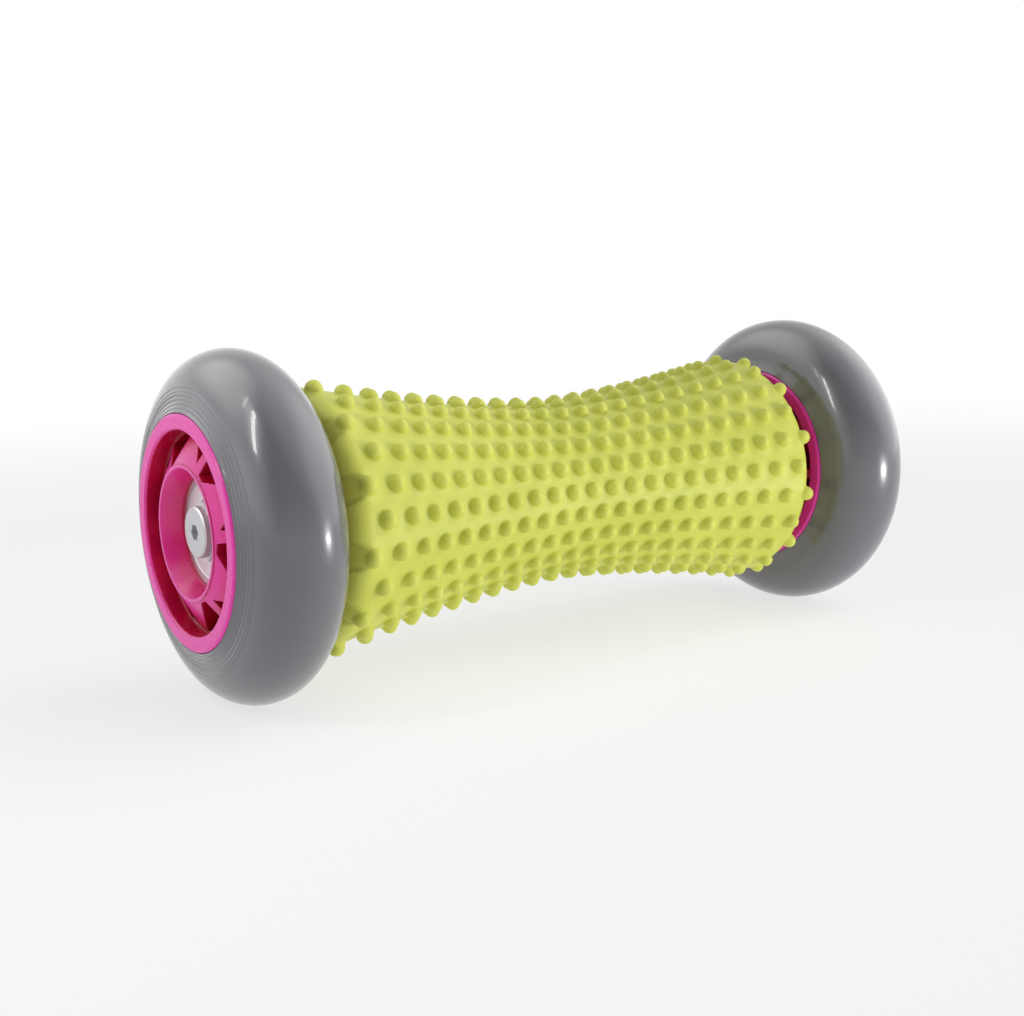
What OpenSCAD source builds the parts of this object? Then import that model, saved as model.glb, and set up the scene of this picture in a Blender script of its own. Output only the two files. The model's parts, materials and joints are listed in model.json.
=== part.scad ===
// Foot massage roller: a studded soft sleeve on a rigid core between two free-turning wheels.
// Origin: on the floor below the middle of the axle. +X runs along the axle, +Z is up.

/* [Wheel] */
// Outer diameter of the tyre
wheel_d = 72; // [70:0.5:76]
// Distance from the middle of the roller to the middle plane of a wheel
wheel_x = 76.5; // [76:0.5:84]
// Radius of the tyre's round section
tyre_round_r = 10; // [9:0.25:11]
// Width of the hub between its two rim faces
hub_w = 23; // [22.5:0.1:24]
// Outer radius of the hub's visible rim lip
rim_r = 23.7; // [23:0.1:24.5]
// Inner radius of the hub's rim, where the pockets start
pocket_r = 20.5; // [19:0.1:21]
// Outer radius of the hub's central boss
boss_r = 13.7; // [13.2:0.1:14.5]
// Number of spokes
spoke_n = 6; // [5:1:7]
// Depth of a spoke's face below the rim's face, beside the boss
spoke_drop = 0.6; // [0.4:0.1:2]
// Depth of a spoke's face below the rim's face, at the rim
spoke_fall = 4; // [2:0.25:6]
// Depth of the open socket in front of the outboard bearing
socket_depth = 5; // [4:0.25:5.5]

/* [Sleeve] */
// Radius of the sleeve between its studs, at its middle
sleeve_mid_r = 19.3; // [18.5:0.1:20.5]
// How much larger that radius is 60 mm from the middle
sleeve_flare = 7.7; // [6:0.1:8.5]
// Length of the sleeve
sleeve_len = 124; // [120:0.5:124.5]
// How far the sleeve sits from the middle of the axle, along X
sleeve_shift = -2.7; // [-2.7:0.05:2.5]
// Radius of the rounded shoulder at each end of the sleeve
shoulder_r = 4; // [2:0.25:5]
// Diameter of a stud
stud_d = 3.4; // [2.8:0.1:4]
// Height of a stud above the sleeve
stud_h = 2; // [1.5:0.1:2.4]
// Number of stud rows around the sleeve
stud_rows = 24; // [16:2:28]
// Distance between neighbouring studs in one row
stud_pitch = 5.44; // [5:0.01:6.2]
// Outer radius of the rigid tube under the sleeve
core_r = 16; // [14:0.5:16.5]

/* [Axle] */
// Diameter of the axle
axle_d = 8; // [7.96:0.01:8]
// Distance between the outer faces of the two outboard inner rings
clamp_len = 166; // [166:0.5:168]

/* [Hidden] */
SIDES = ["left", "right"];
SPOTS = ["inboard", "outboard"];
SIDE_PARTS = ["tyre", "hub", "core_plug", "collar", "bearing_spacer", "washer", "screw"];
RING_PARTS = ["inner_ring", "outer_ring", "cage", "balls", "shields"];

fine = 96;
wheel_r = wheel_d / 2;

// Bearing of the 608 size
bearing_r = 11;
bearing_w = 7;
bore_r = 4;
ball_r = 1.985;
ball_pitch_r = 7.5;
ball_n = 7;
groove_r = ball_r + 0.035;
inner_land_r = 6;
outer_land_r = 9.1;
shield_seat_r = 9.7;
shield_t = 0.4;
shield_inset = 0.2;
shield_gap = 0.2;
cage_in_r = 6.5;
cage_out_r = 8.5;
cage_half_w = 2.55;
cage_hole_r = ball_r + 0.065;

// Hub
hub_half = hub_w / 2;
hub_in_x = wheel_x - hub_half;
hub_out_x = wheel_x + hub_half;
lip_w = 1.9;
tread_seat_r = 22.4;
lock_rib_r = 24.2;
lock_rib_w = 4;
web_half = 1.5;
edge_cut = 0.4;
small_pocket_depth = 6.5;
pocket_ledge = 0.5;
outboard_seat_x = hub_out_x - socket_depth - bearing_w;
inboard_seat_x = hub_in_x + bearing_w;
stop_r = 9.8;
socket_r = 11.2;
socket_mouth_r = 13.2;
socket_flare = socket_depth - 0.6;

// Core
core_half = 60.5;
core_wall = 2.5;
plug_flange_t = 3.5;
plug_land = 12;
plug_cup_in_r = 7;
plug_cup_out_r = 11;
plug_cup_depth = 8.5;
spacer_r = 5.7;
slip = 0.02;

// Screw (flat low head, M5) and washer
screw_r = 2.5;
screw_len = 14;
screw_head_r = 5.2;
screw_head_h = 1.6;
screw_edge = 0.3;
screw_key_w = 3;
screw_key_depth = 1.1;
washer_t = 1;
washer_r = 5.8;
tap_depth = 20;
axle_short = 0.3;

// Sleeve
sleeve_x0 = sleeve_shift - sleeve_len / 2;
sleeve_x1 = sleeve_shift + sleeve_len / 2;
sleeve_band = 11;
shoulder_x0 = sleeve_x0 + shoulder_r;
shoulder_x1 = sleeve_x1 - shoulder_r;
shoulder_step = 30;
stud_root = 1;
stud_cap_h = 0.5;
stud_cap_r = 0.68 * stud_d / 2;
first_row_angle = 5;
lattice_x = -0.9;
left_stretch_from = 45.5;
left_stretch_rate = 0.0155;
right_stretch_from = 20;
right_stretch_rate = 0.0018;

function base_r(x) = sleeve_mid_r + sleeve_flare * pow(abs(x) / 60, 1.6);
// The last studs stand further apart, because the sleeve is stretched there
function stud_x(u) = u
  - left_stretch_rate * pow(max(0, -u - left_stretch_from), 2)
  + right_stretch_rate * pow(max(0, u - right_stretch_from), 2);
// Lean of a stud that stands on the +X shoulder
function stud_lean(x) = max(0, x - shoulder_x1) / shoulder_r * 180 / PI;
function polar(r, a) = [r * cos(a), r * sin(a)];

// Axle frame of one side: z runs outwards along the axle from the middle of the roller
module on_side(s) {
  translate([0, 0, wheel_r]) rotate([90, 0, s == "left" ? -90 : 90]) children();
}

module ring(z0, z1, r_in, r_out) {
  rotate_extrude($fn = fine) polygon([[r_in, z0], [r_out, z0], [r_out, z1], [r_in, z1]]);
}

module stud() {
  side_h = stud_root + stud_h - stud_cap_h;
  cylinder(h = side_h, r = stud_d / 2, $fn = 24);
  translate([0, 0, side_h]) cylinder(h = stud_cap_h, r1 = stud_d / 2, r2 = stud_cap_r, $fn = 24);
}

// Points of one rounded shoulder, from the long side (0 degrees) to the end face (90 degrees)
function shoulder(x, r, way, turns) =
  [for (a = turns) [r - shoulder_r * (1 - cos(a)), x + way * shoulder_r * sin(a)]];

module sleeve_wall() {
  first = ceil(shoulder_x0 / sleeve_band);
  last = floor(shoulder_x1 / sleeve_band);
  rotate_extrude($fn = fine) polygon(concat(
    [[core_r, sleeve_x0]],
    shoulder(shoulder_x0, base_r(shoulder_x0), -1, [90 : -shoulder_step : 0]),
    [for (i = [first : last]) [base_r(i * sleeve_band), i * sleeve_band]],
    shoulder(shoulder_x1, base_r(shoulder_x1), 1, [0 : shoulder_step : 90]),
    [[core_r, sleeve_x1]]
  ));
}

// Soft sleeve, with its rows of studs staggered by half a pitch
module massage_sleeve() {
  color([0.81, 0.83, 0.39])
  translate([0, 0, wheel_r]) rotate([0, 90, 0]) rotate([0, 0, 90])
  union() {
    sleeve_wall();
    for (row = [0 : stud_rows - 1]) {
      odd = row % 2;
      rotate([0, 0, -first_row_angle - row * 360 / stud_rows])
      for (i = [-10 - odd : 10]) {
        x = stud_x(lattice_x + (i + odd / 2) * stud_pitch);
        lean = stud_lean(x);
        foot_x = min(x, shoulder_x1) + (shoulder_r - stud_root) * sin(lean);
        foot_r = base_r(min(x, shoulder_x1)) - shoulder_r + (shoulder_r - stud_root) * cos(lean);
        translate([0, foot_r, foot_x]) rotate([lean - 90, 0, 0]) stud();
      }
    }
  }
}

module core_tube() {
  color([0.25, 0.25, 0.27])
  translate([0, 0, wheel_r]) rotate([0, 90, 0])
  ring(plug_flange_t - core_half, core_half - plug_flange_t, core_r - core_wall, core_r);
}

module axle() {
  half = clamp_len / 2 - axle_short;
  color([0.75, 0.76, 0.78])
  translate([0, 0, wheel_r]) rotate([0, 90, 0])
  difference() {
    translate([0, 0, -half]) cylinder(h = 2 * half, r = axle_d / 2, $fn = fine);
    translate([0, 0, half - tap_depth]) cylinder(h = tap_depth + 1, r = screw_r + slip, $fn = 48);
    translate([0, 0, -half - 1]) cylinder(h = tap_depth + 1, r = screw_r + slip, $fn = 48);
  }
}

// Flanged plug that centres the axle in the tube
module core_plug() {
  tube_end = core_half - plug_flange_t;
  inner_end = tube_end - plug_land;
  color([0.3, 0.3, 0.32])
  difference() {
    union() {
      ring(inner_end, core_half, bore_r + slip, core_r - core_wall);
      ring(tube_end, core_half, core_r - core_wall - 1, core_r);
    }
    ring(inner_end - 1, inner_end + plug_cup_depth, plug_cup_in_r, plug_cup_out_r);
  }
}

module collar() {
  color([0.6, 0.61, 0.63])
  ring(core_half, hub_in_x, bore_r + slip, spacer_r);
}

module bearing_spacer() {
  color([0.6, 0.61, 0.63])
  ring(inboard_seat_x, outboard_seat_x, bore_r + slip, spacer_r);
}

module washer() {
  color([0.8, 0.8, 0.82])
  ring(clamp_len / 2, clamp_len / 2 + washer_t, screw_r + 0.2, washer_r);
}

module screw() {
  head_z = clamp_len / 2 + washer_t;
  head_top = head_z + screw_head_h;
  color([0.7, 0.7, 0.72])
  difference() {
    union() {
      translate([0, 0, head_z - screw_len]) cylinder(h = screw_len + 0.1, r = screw_r, $fn = 48);
      translate([0, 0, head_z]) cylinder(h = screw_head_h - screw_edge, r = screw_head_r, $fn = fine);
      translate([0, 0, head_top - screw_edge])
        cylinder(h = screw_edge, r1 = screw_head_r, r2 = screw_head_r - screw_edge, $fn = fine);
    }
    translate([0, 0, head_top - screw_key_depth])
      cylinder(h = screw_key_depth + 1, r = screw_key_w / sqrt(3), $fn = 6);
  }
}

// Cast tyre: a round section with sidewalls that widen to the rim lip
module tyre() {
  wall_r = 27.2;
  wall_z = 9.93;
  color([0.43, 0.42, 0.44])
  translate([0, 0, wheel_x])
  difference() {
    union() {
      rotate_extrude($fn = 2 * fine)
        translate([wheel_r - tyre_round_r, 0]) circle(r = tyre_round_r, $fn = fine);
      rotate_extrude($fn = 2 * fine) polygon([
        [tread_seat_r, edge_cut + 1 - hub_half], [rim_r, edge_cut - hub_half], [wall_r, -wall_z],
        [wall_r, wall_z], [rim_r, hub_half - edge_cut], [tread_seat_r, hub_half - edge_cut - 1]
      ]);
    }
    rim_solid();
  }
}

// Outer envelope of the hub's rim, which the tyre is cast around
module rim_solid() {
  translate([0, 0, -hub_half]) cylinder(h = hub_w, r = tread_seat_r, $fn = fine);
  translate([0, 0, -lock_rib_w / 2]) cylinder(h = lock_rib_w, r = lock_rib_r, $fn = fine);
  for (m = [0, 1]) mirror([0, 0, m]) {
    translate([0, 0, hub_half - lip_w]) cylinder(h = lip_w - edge_cut, r = rim_r, $fn = fine);
    translate([0, 0, hub_half - edge_cut])
      cylinder(h = edge_cut, r1 = rim_r, r2 = rim_r - edge_cut, $fn = fine);
  }
}

// Deep pocket beside each rib, on both faces of the web
module deep_pockets() {
  for (k = [0 : spoke_n - 1], m = [0, 1])
    rotate([0, 0, 60 + k * 360 / spoke_n]) mirror([0, 0, m])
      translate([0, 0, web_half]) linear_extrude(height = hub_half) polygon([
        polar(boss_r + 0.6, -1), polar(pocket_r - pocket_ledge, 2), polar(pocket_r - pocket_ledge, -8),
        polar(pocket_r - pocket_ledge, -20), polar(pocket_r - pocket_ledge, -28), polar(boss_r + 0.4, -9)
      ]);
}

// Small shallow pocket between each rib and its web
module small_pockets() {
  for (k = [0 : spoke_n - 1], m = [0, 1])
    rotate([0, 0, 7 + k * 360 / spoke_n]) mirror([0, 0, m])
      translate([0, 0, hub_half - spoke_drop - small_pocket_depth]) linear_extrude(height = hub_half)
        polygon([
          polar(boss_r + 1.6, 2), polar(pocket_r - pocket_ledge, 0.5), polar(pocket_r - pocket_ledge, 16)
        ]);
}

module hub() {
  color([0.87, 0.2, 0.6])
  translate([0, 0, wheel_x])
  difference() {
    rim_solid();
    for (m = [0, 1]) mirror([0, 0, m]) {
      rotate_extrude($fn = fine) polygon([
        [boss_r, hub_half - spoke_drop], [pocket_r, hub_half - spoke_fall],
        [pocket_r, hub_half + 1], [boss_r, hub_half + 1]
      ]);
      translate([0, 0, hub_half - edge_cut])
        cylinder(h = 2 * edge_cut, r1 = pocket_r, r2 = pocket_r + 2 * edge_cut, $fn = fine);
    }
    deep_pockets();
    small_pockets();
    translate([0, 0, -hub_half - 1]) cylinder(h = hub_w + 2, r = stop_r, $fn = fine);
    translate([0, 0, -hub_half - 1]) cylinder(h = bearing_w + 1, r = bearing_r, $fn = fine);
    translate([0, 0, outboard_seat_x - wheel_x]) cylinder(h = bearing_w, r = bearing_r, $fn = fine);
    translate([0, 0, hub_half - socket_depth]) cylinder(h = socket_depth + 1, r = socket_r, $fn = fine);
    translate([0, 0, hub_half - socket_flare])
      cylinder(h = 2 * socket_flare, r1 = socket_r, r2 = 2 * socket_mouth_r - socket_r, $fn = fine);
  }
}

// One bearing's pieces, drawn about the bearing's own middle plane
module inner_ring() {
  color([0.78, 0.79, 0.81])
  difference() {
    ring(-bearing_w / 2, bearing_w / 2, bore_r, inner_land_r);
    rotate_extrude($fn = fine) translate([ball_pitch_r, 0]) circle(r = groove_r, $fn = 48);
  }
}

module outer_ring() {
  color([0.78, 0.79, 0.81])
  difference() {
    ring(-bearing_w / 2, bearing_w / 2, outer_land_r, bearing_r);
    rotate_extrude($fn = fine) translate([ball_pitch_r, 0]) circle(r = groove_r, $fn = 48);
    for (m = [0, 1]) mirror([0, 0, m])
      ring(bearing_w / 2 - shield_inset - shield_t, bearing_w / 2 + 1, outer_land_r - 1, shield_seat_r);
  }
}

module shields() {
  z0 = bearing_w / 2 - shield_inset - shield_t;
  color([0.82, 0.83, 0.84])
  for (m = [0, 1]) mirror([0, 0, m]) ring(z0, z0 + shield_t, inner_land_r + shield_gap, shield_seat_r);
}

module cage() {
  color([0.55, 0.56, 0.58])
  difference() {
    ring(-cage_half_w, cage_half_w, cage_in_r, cage_out_r);
    for (k = [0 : ball_n - 1])
      rotate([0, 0, k * 360 / ball_n]) translate([cage_in_r - 1, 0, 0]) rotate([0, 90, 0])
        cylinder(h = cage_out_r - cage_in_r + 2, r = cage_hole_r, $fn = 48);
  }
}

module balls() {
  color([0.85, 0.86, 0.88])
  for (k = [0 : ball_n - 1])
    rotate([0, 0, k * 360 / ball_n]) translate([ball_pitch_r, 0, 0]) sphere(r = ball_r, $fn = 48);
}

module side_part(p) {
  if (p == "tyre") tyre();
  if (p == "hub") hub();
  if (p == "core_plug") core_plug();
  if (p == "collar") collar();
  if (p == "bearing_spacer") bearing_spacer();
  if (p == "washer") washer();
  if (p == "screw") screw();
}

module bearing_part(spot, p) {
  x0 = spot == "inboard" ? hub_in_x : outboard_seat_x;
  translate([0, 0, x0 + bearing_w / 2]) {
    if (p == "inner_ring") inner_ring();
    if (p == "outer_ring") outer_ring();
    if (p == "cage") cage();
    if (p == "balls") balls();
    if (p == "shields") shields();
  }
}

massage_sleeve();
core_tube();
axle();
for (s = SIDES, p = ["tyre", "hub", "core_plug", "collar", "bearing_spacer", "washer", "screw"])
  on_side(s) side_part(p);
for (s = SIDES, b = SPOTS, p = RING_PARTS)
  on_side(s) bearing_part(b, p);
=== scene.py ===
"""Foot massage roller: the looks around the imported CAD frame.

The scene is in metres, in the row frame. Sizes of the sleeve and the tyres are in mm and scaled by MM.
"""

import json
import math

import bmesh
import bpy
import numpy as np
from mathutils import Matrix, Vector

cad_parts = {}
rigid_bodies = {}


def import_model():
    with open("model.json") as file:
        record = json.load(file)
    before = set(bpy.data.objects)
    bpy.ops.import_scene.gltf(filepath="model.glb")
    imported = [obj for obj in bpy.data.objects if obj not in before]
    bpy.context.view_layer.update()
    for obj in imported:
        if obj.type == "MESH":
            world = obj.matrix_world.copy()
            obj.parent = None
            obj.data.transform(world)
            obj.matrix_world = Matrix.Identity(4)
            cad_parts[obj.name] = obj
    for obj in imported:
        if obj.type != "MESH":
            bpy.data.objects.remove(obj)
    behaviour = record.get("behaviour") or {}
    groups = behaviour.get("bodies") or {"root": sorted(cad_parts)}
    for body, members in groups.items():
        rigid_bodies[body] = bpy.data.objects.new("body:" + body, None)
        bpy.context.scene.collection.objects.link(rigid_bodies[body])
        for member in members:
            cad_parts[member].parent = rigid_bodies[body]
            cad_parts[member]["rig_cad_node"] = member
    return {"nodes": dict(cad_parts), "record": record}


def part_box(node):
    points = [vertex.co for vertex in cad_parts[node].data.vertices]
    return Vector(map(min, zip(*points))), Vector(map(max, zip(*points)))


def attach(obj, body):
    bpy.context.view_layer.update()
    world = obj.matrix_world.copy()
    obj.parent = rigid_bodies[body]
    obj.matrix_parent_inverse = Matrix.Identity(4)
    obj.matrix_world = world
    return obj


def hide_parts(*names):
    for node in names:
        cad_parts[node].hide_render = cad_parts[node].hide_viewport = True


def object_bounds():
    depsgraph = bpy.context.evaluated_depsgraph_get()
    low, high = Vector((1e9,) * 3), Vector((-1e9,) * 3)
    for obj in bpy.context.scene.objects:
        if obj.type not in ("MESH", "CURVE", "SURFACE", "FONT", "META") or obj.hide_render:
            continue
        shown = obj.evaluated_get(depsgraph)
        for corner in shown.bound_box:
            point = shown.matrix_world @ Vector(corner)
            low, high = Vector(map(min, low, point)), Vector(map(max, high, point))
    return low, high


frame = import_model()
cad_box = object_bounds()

MM = 0.001
SIDES = {"left": -1, "right": 1}
WHITE = (1.0, 1.0, 1.0)
SMOOTH = "SMOOTHSTEP"

# ---------------------------------------------------------------- places, from the frame


def middle(node):
    low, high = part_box(node)
    return (low + high) / 2


AXLE_Z = middle("axle").z
WHEEL_X = middle("right_tyre").x
WHEEL_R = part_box("right_tyre")[1].z - AXLE_Z

# ---------------------------------------------------------------- mesh helpers


def add_mesh(name, verts, faces, smooth=True):
    mesh = bpy.data.meshes.new(name)
    mesh.from_pydata([tuple(v) for v in verts], [], [tuple(f) for f in faces])
    mesh.validate()
    mesh.update()
    for poly in mesh.polygons:
        poly.use_smooth = smooth
    obj = bpy.data.objects.new(name, mesh)
    bpy.context.scene.collection.objects.link(obj)
    return obj


def outward(obj):
    bm = bmesh.new()
    bm.from_mesh(obj.data)
    bmesh.ops.recalc_face_normals(bm, faces=bm.faces)
    bm.to_mesh(obj.data)
    bm.free()
    obj.data.update()


def sharpen(obj, degrees):
    """Smooth shading, split at edges sharper than the angle."""
    obj.data.set_sharp_from_angle(angle=math.radians(degrees))


def revolve(name, outline, side, segments):
    """A closed outline of (distance outwards from the middle, radius) turned about the axle."""
    n = len(outline)
    verts = []
    for k in range(segments):
        a = 2 * math.pi * k / segments
        for d, r in outline:
            verts.append((side * d, r * math.sin(a), AXLE_Z + r * math.cos(a)))
    faces = []
    for k in range(segments):
        j = (k + 1) % segments
        for i in range(n):
            i2 = (i + 1) % n
            faces.append((k * n + i, k * n + i2, j * n + i2, j * n + i))
    obj = add_mesh(name, verts, faces)
    outward(obj)
    return obj


# ---------------------------------------------------------------- materials


class Graph:
    """A small helper to lay out the nodes of a material or of the world."""

    def __init__(self, tree):
        self.tree = tree
        self.tree.nodes.clear()

    def add(self, kind, **values):
        node = self.tree.nodes.new(kind)
        for key, value in values.items():
            setattr(node, key, value)
        return node

    def link(self, a, b):
        self.tree.links.new(a, b)

    def plug(self, value, socket):
        """Link a socket, or set a colour or a number."""
        if isinstance(value, bpy.types.NodeSocket):
            self.link(value, socket)
        elif isinstance(value, tuple):
            socket.default_value = (*value, 1)
        else:
            socket.default_value = value

    def span(self, source, low, high, from_low=0.0, from_high=1.0, curve="LINEAR"):
        """The source's range from_low to from_high, mapped to the range low to high."""
        node = self.add("ShaderNodeMapRange", interpolation_type=curve)
        self.link(source, node.inputs["Value"])
        node.inputs["From Min"].default_value = from_low
        node.inputs["From Max"].default_value = from_high
        node.inputs["To Min"].default_value = low
        node.inputs["To Max"].default_value = high
        return node.outputs["Result"]


class Material(Graph):
    """One material: a principled shader and the procedural nodes that feed it."""

    def __init__(self, name):
        self.material = bpy.data.materials.new(name)
        self.material.use_nodes = True
        super().__init__(self.material.node_tree)
        self.out = self.add("ShaderNodeOutputMaterial")
        self.bsdf = self.add("ShaderNodeBsdfPrincipled")
        self.link(self.bsdf.outputs["BSDF"], self.out.inputs["Surface"])
        self.place = self.add("ShaderNodeTexCoord").outputs["Object"]

    def set(self, **values):
        """Plug values into the shader's inputs, named with _ for a space."""
        for key, value in values.items():
            self.plug(value, self.bsdf.inputs[key.replace("_", " ")])

    def scatter(self, weight, scale, radius=None):
        """Light that spreads below the surface, over the scale in metres."""
        self.set(Subsurface_Weight=weight, Subsurface_Scale=scale)
        if radius is not None:
            self.bsdf.inputs["Subsurface Radius"].default_value = radius

    def noise(self, scale, detail=3.0, rough=0.5):
        node = self.add("ShaderNodeTexNoise")
        node.inputs["Scale"].default_value = scale
        node.inputs["Detail"].default_value = detail
        node.inputs["Roughness"].default_value = rough
        self.link(self.place, node.inputs["Vector"])
        return node.outputs["Fac"]

    def painted_shade_openness(self, reach):
        """1 on an open face, down to 0 deep inside the piece's own hollows: the mask for painted shade."""
        node = self.add("ShaderNodeAmbientOcclusion", samples=6, only_local=True)
        node.inputs["Distance"].default_value = reach
        return node.outputs["AO"]

    def ramp(self, source, stops):
        node = self.add("ShaderNodeValToRGB")
        ramp = node.color_ramp
        while len(ramp.elements) < len(stops):
            ramp.elements.new(0.5)
        for element, (at, color) in zip(ramp.elements, stops):
            element.position = at
            element.color = (*color, 1)
        self.link(source, node.inputs["Fac"])
        return node.outputs["Color"]

    def mix(self, factor, a, b, mode="MIX"):
        node = self.add("ShaderNodeMix", data_type="RGBA", blend_type=mode)
        factor_in, a_in, b_in = (node.inputs[i] for i in (0, 6, 7))
        self.plug(factor, factor_in)
        self.plug(a, a_in)
        self.plug(b, b_in)
        return node.outputs[2]

    def bump(self, height, strength, distance, normal=None):
        node = self.add("ShaderNodeBump")
        node.inputs["Strength"].default_value = strength
        node.inputs["Distance"].default_value = distance
        self.link(height, node.inputs["Height"])
        if normal is not None:
            self.link(normal, node.inputs["Normal"])
        self.link(node.outputs["Normal"], self.bsdf.inputs["Normal"])


def srgb(r, g, b):
    """A linear colour from 0-255 display values."""
    out = []
    for c in (r, g, b):
        c /= 255
        out.append(c / 12.92 if c <= 0.04045 else ((c + 0.055) / 1.055) ** 2.4)
    return tuple(out)


def sleeve_material():
    m = Material("lime_elastomer")
    cloud = m.noise(55, 3)
    grain = m.noise(2600, 2, 0.6)
    color = m.ramp(cloud, [(0.3, srgb(197, 203, 80)), (0.7, srgb(208, 212, 92))])
    m.set(Base_Color=color, Roughness=m.span(grain, 0.42, 0.56), Specular_IOR_Level=0.42, IOR=1.5)
    m.scatter(0.08, 1.5 * MM, (1.0, 0.9, 0.25))
    m.bump(grain, 0.16, 0.06 * MM)
    return m.material


def tyre_material():
    m = Material("grey_urethane")
    cloud = m.noise(38, 3)
    dust = m.noise(900, 2)
    color = m.ramp(cloud, [(0.3, srgb(98, 97, 103)), (0.7, srgb(106, 105, 111))])
    m.set(Base_Color=color, Roughness=m.span(dust, 0.2, 0.3), Specular_IOR_Level=0.55, IOR=1.5)
    m.set(Coat_Weight=0.5, Coat_Roughness=0.06)
    m.scatter(0.05, 2 * MM)
    m.bump(m.noise(120, 2), 0.05, 0.1 * MM)
    return m.material


# Painted shade on the hub by openness: crimson painted into its hollows where shade falls, magenta on its
# open faces
HUB_PAINTED_SHADE_COLORS = [(0.3, srgb(182, 8, 44)), (0.64, srgb(212, 18, 92)), (0.96, srgb(242, 54, 176))]
# How far into the hub's hollows the painted shade reaches
HUB_PAINTED_SHADE_REACH = 24 * MM
HUB_EDGE_R = 0.5 * MM


def hub_material():
    m = Material("magenta_plastic")
    cloud = m.noise(70, 2)
    orange_peel = m.noise(420, 2)
    # Painted shade: ambient occlusion darkens the hollows to crimson in place of real shade and red bounce
    # light
    painted_hollow_shade = m.ramp(m.painted_shade_openness(HUB_PAINTED_SHADE_REACH), HUB_PAINTED_SHADE_COLORS)
    color = m.mix(m.span(cloud, 0.0, 0.08), painted_hollow_shade, WHITE, "MULTIPLY")
    m.set(Base_Color=color, Roughness=m.span(orange_peel, 0.24, 0.33), Specular_IOR_Level=0.5, IOR=1.5)
    m.scatter(0.12, 2 * MM, (1.0, 0.25, 0.5))
    rounded = m.add("ShaderNodeBevel", samples=4)
    rounded.inputs["Radius"].default_value = HUB_EDGE_R
    m.bump(orange_peel, 0.03, 0.04 * MM, rounded.outputs["Normal"])
    return m.material


def metal_material(name, color, rough, scale=1200, depth=0.02 * MM):
    m = Material(name)
    marks = m.noise(scale, 3, 0.65)
    dark = tuple(0.82 * c for c in color)
    m.set(Base_Color=m.mix(marks, dark, color), Metallic=1.0)
    m.set(Roughness=m.span(marks, rough * 0.75, rough * 1.3))
    m.bump(marks, 0.12, depth)
    return m.material


def core_material():
    m = Material("black_nylon")
    grain = m.noise(1500, 3)
    m.set(Base_Color=m.mix(grain, srgb(44, 44, 47), srgb(62, 62, 66)), Roughness=m.span(grain, 0.45, 0.65))
    m.bump(grain, 0.2, 0.05 * MM)
    return m.material


MATERIALS = {
    "sleeve": sleeve_material(),
    "tyre": tyre_material(),
    "hub": hub_material(),
    "core": core_material(),
    "spacer": metal_material("turned_aluminium", (0.76, 0.77, 0.79), 0.3, 800),
    "steel": metal_material("ground_steel", (0.7, 0.71, 0.73), 0.42),
    "shield": metal_material("pressed_shield", (0.8, 0.81, 0.82), 0.5, 500),
    "ball": metal_material("polished_ball", (0.8, 0.81, 0.83), 0.07, 300, 0.004 * MM),
    "screw": metal_material("plated_screw", (0.6, 0.6, 0.62), 0.5, 900),
}


def dress(obj, slot):
    """Give a piece its material."""
    obj.data.materials.clear()
    obj.data.materials.append(MATERIALS[slot])


# ---------------------------------------------------------------- camera

VIEW_AZIMUTH = math.radians(-34.575)
VIEW_ELEVATION = math.radians(8.7)
VIEW_ROLL = math.radians(-1.579)
VIEW_TARGET = Vector((-9.34, 0.0, AXLE_Z / MM - 3.46)) * MM
VIEW_DISTANCE = 329.1 * MM
LENS_MM = 50.87
SENSOR_MM = 36.0
CLIP_FROM = 0.005
CLIP_TO = 50


def make_camera():
    """It looks at the target, turned about its line of sight by the roll."""
    forward = Vector((
        -math.sin(VIEW_AZIMUTH) * math.cos(VIEW_ELEVATION),
        math.cos(VIEW_AZIMUTH) * math.cos(VIEW_ELEVATION),
        -math.sin(VIEW_ELEVATION),
    ))
    level_right = Vector((math.cos(VIEW_AZIMUTH), math.sin(VIEW_AZIMUTH), 0.0))
    level_up = level_right.cross(forward)
    right = level_right * math.cos(VIEW_ROLL) + level_up * math.sin(VIEW_ROLL)
    up = right.cross(forward)
    turn = Matrix((right, up, -forward)).transposed()
    data = bpy.data.cameras.new("camera")
    data.lens = LENS_MM
    data.sensor_width = SENSOR_MM
    data.clip_start = CLIP_FROM
    data.clip_end = CLIP_TO
    camera = bpy.data.objects.new("camera", data)
    bpy.context.scene.collection.objects.link(camera)
    camera.matrix_world = Matrix.Translation(VIEW_TARGET - forward * VIEW_DISTANCE) @ turn.to_4x4()
    bpy.context.scene.camera = camera


make_camera()

# ---------------------------------------------------------------- massage sleeve

# The wall, in mm
SLEEVE_MID_R = 19.3
SLEEVE_FLARE = 7.7
SLEEVE_FLARE_AT = 60
SLEEVE_FLARE_POWER = 1.6
SLEEVE_BORE_R = 16.05
BORE_CHAMFER = 0.5
SHOULDER_R = 4.0
SLEEVE_CREASE = 62
# The studs' lattice: odd rows are half a pitch out of step with even ones
STUD_ROWS = 24
STUD_PITCH = 5.44
LATTICE_X = -0.9
FIRST_ROW = math.radians(5)
LEFT_STRETCH_FROM = 45.5
LEFT_STRETCH_RATE = 0.0155
RIGHT_STRETCH_FROM = 20.0
RIGHT_STRETCH_RATE = 0.0018
# One stud: a fillet at the foot, then a dome. The last ones at the left are a little larger
STUD_R = 1.7
STUD_H = 2.0
STUD_FILLET = [(1.16, 0.0), (1.06, 0.04)]
STUD_DOME_STEPS = 7
STUD_DOME_FROM = math.radians(8)
STUD_DOME_TO = math.radians(83)
STUD_DOME_POWER = 0.93
STUD_GROWTH = 0.16
STUD_GROWTH_FROM = 47
STUD_GROWTH_OVER = 10
# Each stud stands on its own cell of the wall: mesh steps along its side, cells each way, gap at the end
CELL_SIDE = 8
LAST_CELL = 11
LAST_CELL_GAP = 0.45


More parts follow.
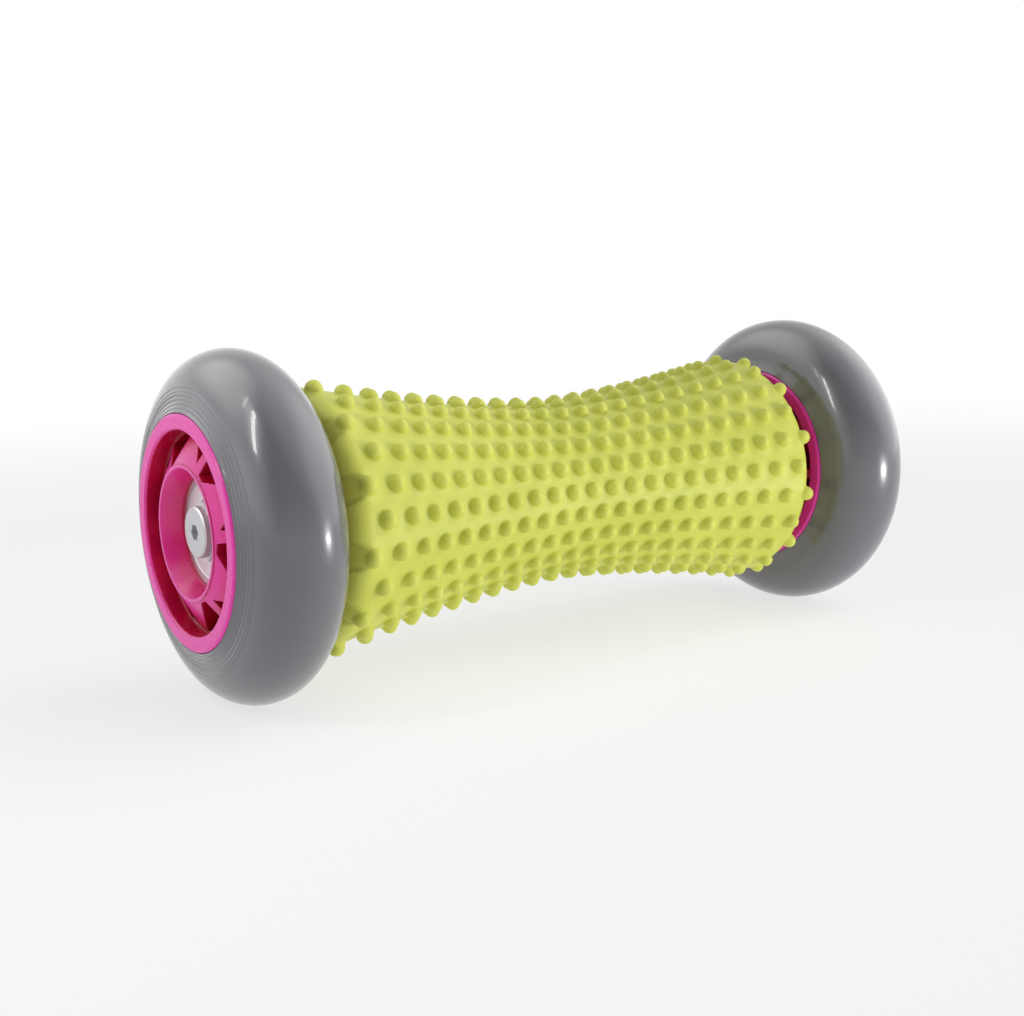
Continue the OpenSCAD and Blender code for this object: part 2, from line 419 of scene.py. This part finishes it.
def stud_outline():
    """Outline of a stud, from its foot to its crown: share of the radius, share of the height."""
    turns = np.linspace(STUD_DOME_FROM, STUD_DOME_TO, STUD_DOME_STEPS)
    return STUD_FILLET + [(math.cos(t), math.sin(t) ** STUD_DOME_POWER) for t in turns]


def sleeve_r(x):
    """Radius of the wall, which flares from its waist to both ends."""
    return SLEEVE_MID_R + SLEEVE_FLARE * (abs(x) / SLEEVE_FLARE_AT) ** SLEEVE_FLARE_POWER


class SleeveWall:
    """The sleeve's outer wall, by the distance s along it. It rolls over a shoulder at each end."""

    def __init__(self):
        low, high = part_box("massage_sleeve")
        self.low = low.x / MM
        self.high = high.x / MM
        self.from_low = self.low + SHOULDER_R
        self.from_high = self.high - SHOULDER_R
        turn = SHOULDER_R * math.pi / 2
        self.s_low = self.from_low - turn
        self.s_high = self.from_high + turn

    def lean(self, s):
        """How far the wall has turned over its shoulder at s: 0 between the shoulders, < 0 at the left."""
        return (max(0.0, s - self.from_high) - max(0.0, self.from_low - s)) / SHOULDER_R

    def point(self, s):
        """X and radius of the wall at s."""
        lean = self.lean(s)
        if lean == 0:
            return s, sleeve_r(s)
        start = self.from_high if lean > 0 else self.from_low
        x = start + SHOULDER_R * math.sin(lean)
        return x, sleeve_r(start) - SHOULDER_R * (1 - math.cos(lean))

    def stud_s(self, u):
        """Distance along the wall of lattice place u. The last studs stand further apart."""
        x = LATTICE_X + u * STUD_PITCH
        x -= LEFT_STRETCH_RATE * max(0.0, -x - LEFT_STRETCH_FROM) ** 2
        return x + RIGHT_STRETCH_RATE * max(0.0, x - RIGHT_STRETCH_FROM) ** 2

    def cell_s(self, u):
        """The same for the cells' outlines, which end just short of the shoulders' ends."""
        last = LAST_CELL - 0.5
        if abs(u) <= last:
            return self.stud_s(u)
        side = 1 if u > 0 else -1
        foot = self.stud_s(side * last)
        edge = (self.s_high if side > 0 else self.s_low) - side * LAST_CELL_GAP
        return foot + (edge - foot) * (abs(u) - last) / 0.5


def stud_growth(s):
    grown = min(1.0, max(0.0, (-s - STUD_GROWTH_FROM) / STUD_GROWTH_OVER))
    return 1.0 + STUD_GROWTH * grown


def make_sleeve():
    """One closed skin: a cell with a stud at each lattice place, half cells at the ends, then the ends."""
    wall = SleeveWall()
    outline = stud_outline()
    verts, faces, index = [], [], {}
    row_turn = 2 * math.pi / STUD_ROWS
    around = STUD_ROWS * CELL_SIDE

    def put(x, r, angle):
        verts.append((x * MM, -r * math.cos(angle) * MM, AXLE_Z + r * math.sin(angle) * MM))
        return len(verts) - 1

    def around_angle(v):
        return FIRST_ROW + (v / CELL_SIDE - 0.5) * row_turn

    def grid_point(v, u):
        """A shared point of the cells' outlines. v and u count in parts of a cell's side."""
        v %= around
        if (v, u) not in index:
            index[v, u] = put(*wall.point(wall.cell_s(u / CELL_SIDE)), around_angle(v))
        return index[v, u]

    def cell_outline(row, u):
        """The cell's outline points, counter-clockwise from the middle of its +X side."""
        half = CELL_SIDE // 2
        mid = row * CELL_SIDE + half
        steps = [(half, j) for j in range(0, half)]
        steps += [(half - j, half) for j in range(0, CELL_SIDE)]
        steps += [(-half, half - j) for j in range(0, CELL_SIDE)]
        steps += [(-half + j, -half) for j in range(0, CELL_SIDE)]
        steps += [(half, -half + j) for j in range(0, half)]
        return [grid_point(mid + dv, u + du) for du, dv in steps]

    def stud(row, u):
        """The dome on the cell whose middle is at u, from the cell's outline up to the crown."""
        loop = cell_outline(row, u)
        n = len(loop)
        s_mid = wall.stud_s(u / CELL_SIDE)
        angle_mid = FIRST_ROW + row * row_turn
        x_mid, r_mid = wall.point(s_mid)
        lean = wall.lean(s_mid)
        radius = STUD_R * stud_growth(s_mid)
        height = STUD_H * math.sqrt(stud_growth(s_mid))
        for share_r, share_h in outline:
            ring = []
            for k in range(n):
                a = 2 * math.pi * k / n
                ds = radius * share_r * math.cos(a)
                x_foot, r_foot = wall.point(s_mid + ds)
                x_flat = x_mid + ds * math.cos(lean)
                r_flat = r_mid - ds * math.sin(lean)
                x = x_foot + (x_flat - x_foot) * share_h + share_h * height * math.sin(lean)
                r = r_foot + (r_flat - r_foot) * share_h + share_h * height * math.cos(lean)
                ring.append(put(x, r, angle_mid + radius * share_r * math.sin(a) / r_mid))
            join(loop, ring)
            loop = ring
        top = put(x_mid + height * math.sin(lean), r_mid + height * math.cos(lean), angle_mid)
        for k in range(n):
            faces.append((loop[k], loop[(k + 1) % n], top))

    def join(a, b):
        """A band of faces between two closed loops of the same length."""
        for k in range(len(a)):
            j = (k + 1) % len(a)
            faces.append((a[k], a[j], b[j], b[k]))

    def plain_half_cells(row):
        """Even rows end in half a cell without a stud."""
        for start in (-LAST_CELL * CELL_SIDE, LAST_CELL * CELL_SIDE - CELL_SIDE // 2):
            for u in range(start, start + CELL_SIDE // 2):
                for v in range(row * CELL_SIDE, (row + 1) * CELL_SIDE):
                    corners = ((v, u), (v, u + 1), (v + 1, u + 1), (v + 1, u))
                    faces.append([grid_point(*c) for c in corners])

    def end_loops(side):
        """From the outermost cells over the rest of the shoulder, the end face and round to the bore."""
        x_end = wall.high if side > 0 else wall.low
        s_end = wall.s_high if side > 0 else wall.s_low
        section = [wall.point(s_end - side * LAST_CELL_GAP * t) for t in (0.5, 0.0)]
        section += [(x_end, SLEEVE_BORE_R + BORE_CHAMFER), (x_end - side * BORE_CHAMFER, SLEEVE_BORE_R)]
        loops = [[grid_point(v, side * LAST_CELL * CELL_SIDE) for v in range(around)]]
        return loops + [[put(x, r, around_angle(v)) for v in range(around)] for x, r in section]

    for row in range(STUD_ROWS):
        odd = row % 2
        for i in range(-LAST_CELL + 1 - odd, LAST_CELL):
            stud(row, i * CELL_SIDE + odd * CELL_SIDE // 2)
        if not odd:
            plain_half_cells(row)
    low, high = end_loops(-1), end_loops(1)
    for loops in (low, high, [low[-1], high[-1]]):
        for a, b in zip(loops, loops[1:]):
            join(a, b)
    obj = add_mesh("massage_sleeve_skin", verts, faces)
    outward(obj)
    sharpen(obj, SLEEVE_CREASE)
    dress(obj, "sleeve")
    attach(obj, "axle_core")
    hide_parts("massage_sleeve")


make_sleeve()

# ---------------------------------------------------------------- tyres

# The section, in mm: a round crown, walls that run in to the foot, and a step where the hub holds it
TYRE_ROUND_R = 10.0
RIM_R = 23.7
SEAT_R = 22.4
LIP_IN = 9.6
WALL_FOOT = 11.05
WALL_TOP_R = 27.2
WALL_POWER = 1.35
FOOT_CHAMFER = 0.25
FOOT_RISE = 0.2
CROWN_STEPS = 44
WALL_STEPS = 8
TYRE_SEGMENTS = 160
TYRE_CREASE = 50
# The fine rings moulded in the outer wall
RING_FIRST_R = 24.5
RING_STEP = 0.82
RING_COUNT = 6
RING_DEPTH = 0.11
RING_HALF = 0.16
RING_FLOOR_HALF = 0.05
# The crown's middle circle, and the turn up to where a wall starts
CROWN_MID_R = WHEEL_R / MM - TYRE_ROUND_R
WALL_TURN = math.asin((WALL_TOP_R - CROWN_MID_R) / TYRE_ROUND_R)


def wall_x(r):
    """Half-width of the tyre at a radius, in mm."""
    if r >= WALL_TOP_R:
        return math.sqrt(max(0.0, TYRE_ROUND_R ** 2 - (r - CROWN_MID_R) ** 2))
    top = TYRE_ROUND_R * math.cos(WALL_TURN)
    t = (WALL_TOP_R - r) / (WALL_TOP_R - RIM_R)
    return top + (WALL_FOOT - top) * t ** WALL_POWER


def ring_groove(r):
    """One moulded ring in the outer wall, at the radius r."""
    across = (-RING_HALF, -RING_FLOOR_HALF, RING_FLOOR_HALF, RING_HALF)
    sinks = (0.0, RING_DEPTH, RING_DEPTH, 0.0)
    return [(wall_x(r + dr) - sink, r + dr) for dr, sink in zip(across, sinks)]


def tyre_outline():
    """Outline of the tyre's section: grooved outer wall, crown, plain inner wall, then the hub's seat."""
    foot_r = RIM_R + FOOT_RISE
    outer = [(WALL_FOOT - FOOT_CHAMFER, RIM_R), (WALL_FOOT, foot_r)]
    for k in range(RING_COUNT):
        outer += ring_groove(RING_FIRST_R + k * RING_STEP)
    past_rings = math.asin((RING_FIRST_R + RING_COUNT * RING_STEP - CROWN_MID_R) / TYRE_ROUND_R)
    turns = np.linspace(past_rings, math.pi - WALL_TURN, CROWN_STEPS + 1)
    crown = [(TYRE_ROUND_R * math.cos(a), CROWN_MID_R + TYRE_ROUND_R * math.sin(a)) for a in turns]
    plain = [(-wall_x(r), r) for r in np.linspace(WALL_TOP_R, foot_r, WALL_STEPS + 1)[1:]]
    seat = [(-WALL_FOOT + FOOT_CHAMFER, RIM_R), (-LIP_IN, RIM_R), (-LIP_IN, SEAT_R)]
    seat += [(LIP_IN, SEAT_R), (LIP_IN, RIM_R)]
    return outer + crown + plain + seat


def make_tyre(side_name):
    side = SIDES[side_name]
    outline = [(WHEEL_X + d * MM, r * MM) for d, r in tyre_outline()]
    obj = revolve(side_name + "_tyre_skin", outline, side, TYRE_SEGMENTS)
    sharpen(obj, TYRE_CREASE)
    dress(obj, "tyre")
    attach(obj, side_name + "_wheel")
    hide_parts(side_name + "_tyre")


for side_name in SIDES:
    make_tyre(side_name)

# ---------------------------------------------------------------- carried-over CAD nodes

CAD_CREASE = 32

for row in frame["record"]["subparts"]:
    node = frame["nodes"][row["node"]]
    if not node.hide_render:
        dress(node, row["material_slot"])
        sharpen(node, CAD_CREASE)

# ---------------------------------------------------------------- floor and light

FLOOR_R = 3.0
FLOOR_SIDES = 64
FLOOR_DROP = 0.02 * MM
FLOOR_NEAR = 0.22
FLOOR_FAR = 0.75
FLOOR_GLOW = 0.7


def floor_material():
    """Pale and matt, with a white glow that is full beyond FLOOR_FAR."""
    m = Material("pale_floor")
    m.set(Base_Color=m.mix(m.noise(3, 2), (0.9, 0.9, 0.9), (0.93, 0.93, 0.93)), Roughness=0.9)
    m.set(Specular_IOR_Level=0.0)
    reach = m.add("ShaderNodeVectorMath", operation="LENGTH")
    m.link(m.place, reach.inputs[0])
    glow = m.add("ShaderNodeEmission")
    m.plug(WHITE, glow.inputs["Color"])
    both = m.add("ShaderNodeMixShader")
    matt_in, glow_in = both.inputs[1], both.inputs[2]
    fade = m.span(reach.outputs["Value"], FLOOR_GLOW, 1.0, FLOOR_NEAR, FLOOR_FAR, SMOOTH)
    m.link(fade, both.inputs["Fac"])
    m.link(m.bsdf.outputs["BSDF"], matt_in)
    m.link(glow.outputs["Emission"], glow_in)
    m.link(both.outputs["Shader"], m.out.inputs["Surface"])
    return m.material


def make_floor():
    """A pale round floor that turns to plain white away from the object."""
    z = cad_box[0].z - FLOOR_DROP
    turns = [2 * math.pi * k / FLOOR_SIDES for k in range(FLOOR_SIDES)]
    edge = [(FLOOR_R * math.cos(t), FLOOR_R * math.sin(t), z) for t in turns]
    floor = add_mesh("floor", edge, [range(FLOOR_SIDES)], smooth=False)
    floor.data.materials.append(floor_material())


def towards(azimuth, elevation):
    """The way from the object to a light, in degrees. Azimuth 0 is in front, +90 is +X."""
    a, e = math.radians(azimuth), math.radians(elevation)
    return Vector((math.sin(a) * math.cos(e), -math.cos(a) * math.cos(e), math.sin(e)))


# Area lights: azimuth and elevation in degrees, width and height in metres, power in watts
LIGHT_DISTANCE = 0.3
LIGHTS = {
    "key_right": (34, -5.5, 0.045, 0.028, 0.42),
    "strip_left": (-84, 37, 0.02, 0.13, 0.15),
    "strip_left_high": (-97, 48, 0.012, 0.06, 0.014),
}


def make_light(name, azimuth, elevation, width, height, power):
    """An area light that looks at the middle of the axle."""
    way = towards(azimuth, elevation)
    data = bpy.data.lights.new(name, "AREA")
    data.shape = "RECTANGLE"
    data.size = width
    data.size_y = height
    data.energy = power
    light = bpy.data.objects.new(name, data)
    bpy.context.scene.collection.objects.link(light)
    light.location = Vector((0, 0, AXLE_Z)) + way * LIGHT_DISTANCE
    light.rotation_euler = (-way).to_track_quat("-Z", "Y").to_euler()
    light.visible_camera = False


WORLD_LIGHT = 0.16
WORLD_FRONT = 0.2
WORLD_FRONT_Y = -0.6
WORLD_BACK = 1.0
WORLD_BACK_Y = 0.5
WORLD_HAZE = 0.4
WORLD_HAZE_TOP = 0.5
# Soft patches of light: azimuth, elevation, full within, gone beyond (degrees), strength
SHEEN_GLOWS = [(-143, 50, 4, 36, 1.8)]
LIGHT_GLOWS = [(58, 58, 10, 54, 0.85), (70, 24, 6, 50, 1.2), (-100, 8, 2, 44, 0.45)]


class World(Graph):
    """The scene's surroundings and the nodes that feed their brightness."""

    def __init__(self, name):
        world = bpy.data.worlds.new(name)
        bpy.context.scene.world = world
        world.use_nodes = True
        super().__init__(world.node_tree)
        self.way = self.add("ShaderNodeTexCoord").outputs["Generated"]

    def choose(self, test, no, yes):
        node = self.add("ShaderNodeMix")
        test_in, no_in, yes_in = (node.inputs[i] for i in (0, 2, 3))
        self.plug(test, test_in)
        self.plug(no, no_in)
        self.plug(yes, yes_in)
        return node.outputs[0]

    def total(self, a, b):
        node = self.add("ShaderNodeMath", operation="ADD")
        self.link(a, node.inputs[0])
        self.link(b, node.inputs[1])
        return node.outputs["Value"]

    def glow(self, azimuth, elevation, near, far, strength):
        """A soft-edged patch of light, full inside near and gone beyond far."""
        aim = self.add("ShaderNodeVectorMath", operation="DOT_PRODUCT")
        self.link(self.way, aim.inputs[0])
        aim.inputs[1].default_value = towards(azimuth, elevation)
        edge, full = math.cos(math.radians(far)), math.cos(math.radians(near))
        return self.span(aim.outputs["Value"], 0.0, strength, edge, full, SMOOTH)

    def with_glows(self, base, glows):
        for values in glows:
            base = self.total(base, self.glow(*values))
        return base

    def shine(self, strength):
        background = self.add("ShaderNodeBackground")
        self.plug(WHITE, background.inputs["Color"])
        self.plug(strength, background.inputs["Strength"])
        out = self.add("ShaderNodeOutputWorld")
        self.link(background.outputs["Background"], out.inputs["Surface"])


def make_world():
    """Plain white to look at, and softer as a light.

    Glossy parts see it dim in front and white behind, with a haze over the horizon.
    """
    w = World("studio")
    axes = w.add("ShaderNodeSeparateXYZ")
    w.link(w.way, axes.inputs["Vector"])
    sweep = w.span(axes.outputs["Y"], WORLD_FRONT, WORLD_BACK, WORLD_FRONT_Y, WORLD_BACK_Y, SMOOTH)
    haze = w.span(axes.outputs["Z"], WORLD_HAZE, 0.0, 0.0, WORLD_HAZE_TOP, SMOOTH)
    ray = w.add("ShaderNodeLightPath").outputs
    sheen = w.with_glows(w.total(sweep, haze), SHEEN_GLOWS)
    lit = w.with_glows(w.choose(ray["Is Glossy Ray"], WORLD_LIGHT, sheen), LIGHT_GLOWS)
    w.shine(w.choose(ray["Is Camera Ray"], lit, 1.0))


make_floor()
make_world()
for name, values in LIGHTS.items():
    make_light(name, *values)
bpy.context.scene.view_settings.view_transform = "Standard"
